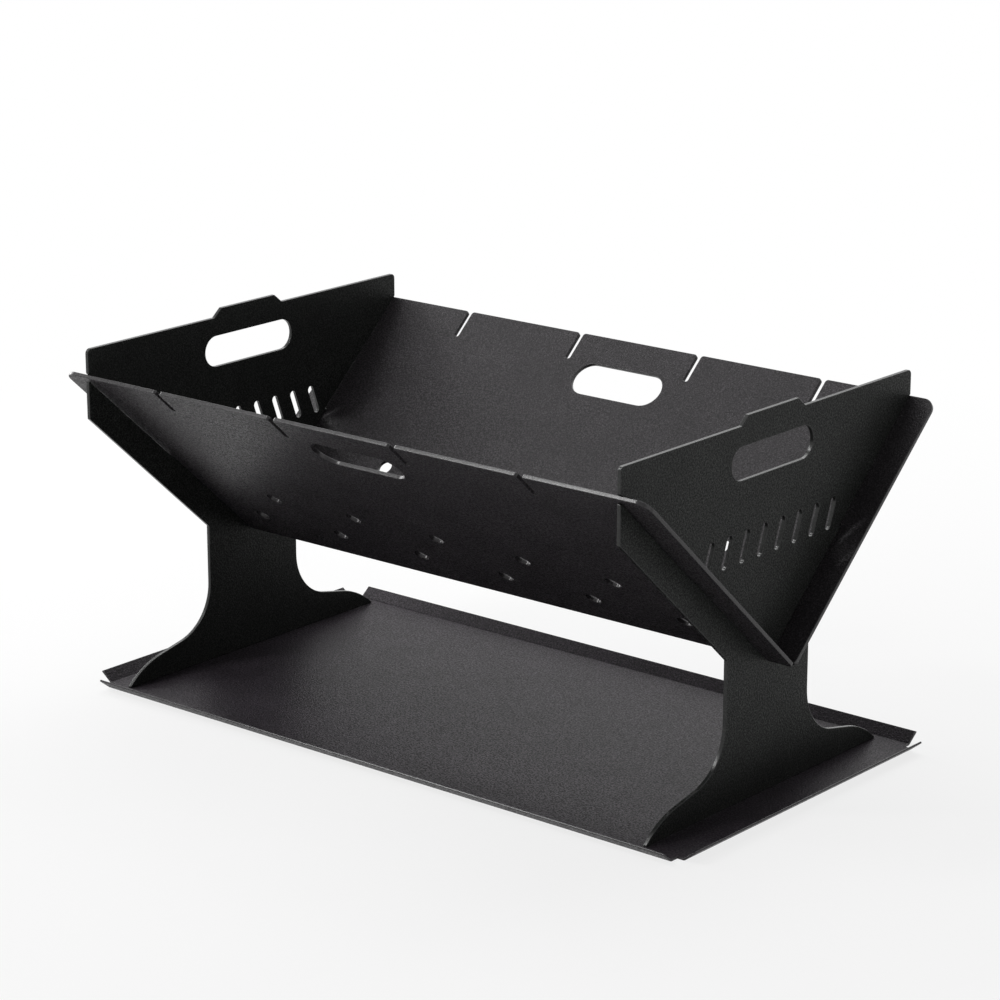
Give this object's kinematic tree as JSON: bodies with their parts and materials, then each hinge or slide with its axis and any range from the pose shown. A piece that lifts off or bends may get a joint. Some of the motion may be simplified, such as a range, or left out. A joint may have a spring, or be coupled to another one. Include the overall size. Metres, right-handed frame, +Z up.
{
  "type": "portable fire pit",
  "caption": "Flat-pack sheet-steel fire pit: end plates with handle slots hold sloping vented side panels as a V-shaped trough above a folded ash tray.",
  "frame": {"origin": "middle of the overall box, on the ground under the tray", "axes": "+X along the trough to the right end plate, +Y to the rear side panel, +Z up"},
  "size_m": [0.6212, 0.3724, 0.3056],
  "materials": {
    "tray_coat": "matte black powder coat",
    "plate_coat": "matte black powder coat",
    "panel_coat": "matte black powder coat"
  },
  "bodies": {
    "tray": {"base_tray": "tray_coat"},
    "end_plates": {"left_end_plate": "plate_coat", "right_end_plate": "plate_coat"},
    "front_panel": {"front_side_panel": "panel_coat"},
    "rear_panel": {"rear_side_panel": "panel_coat"}
  },
  "joints": [
    {"name": "pit_lift", "type": "slide", "parent": "tray", "child": "end_plates", "axis": [0, 0, 1], "range_m": [0, 0.12]},
    {"name": "front_panel_slide", "type": "slide", "parent": "end_plates", "child": "front_panel", "axis": [0, -0.7385, 0.6743], "range_m": [0, 0.256]},
    {"name": "rear_panel_slide", "type": "slide", "parent": "end_plates", "child": "rear_panel", "axis": [0, 0.7385, 0.6743], "range_m": [0, 0.256]}
  ]
}
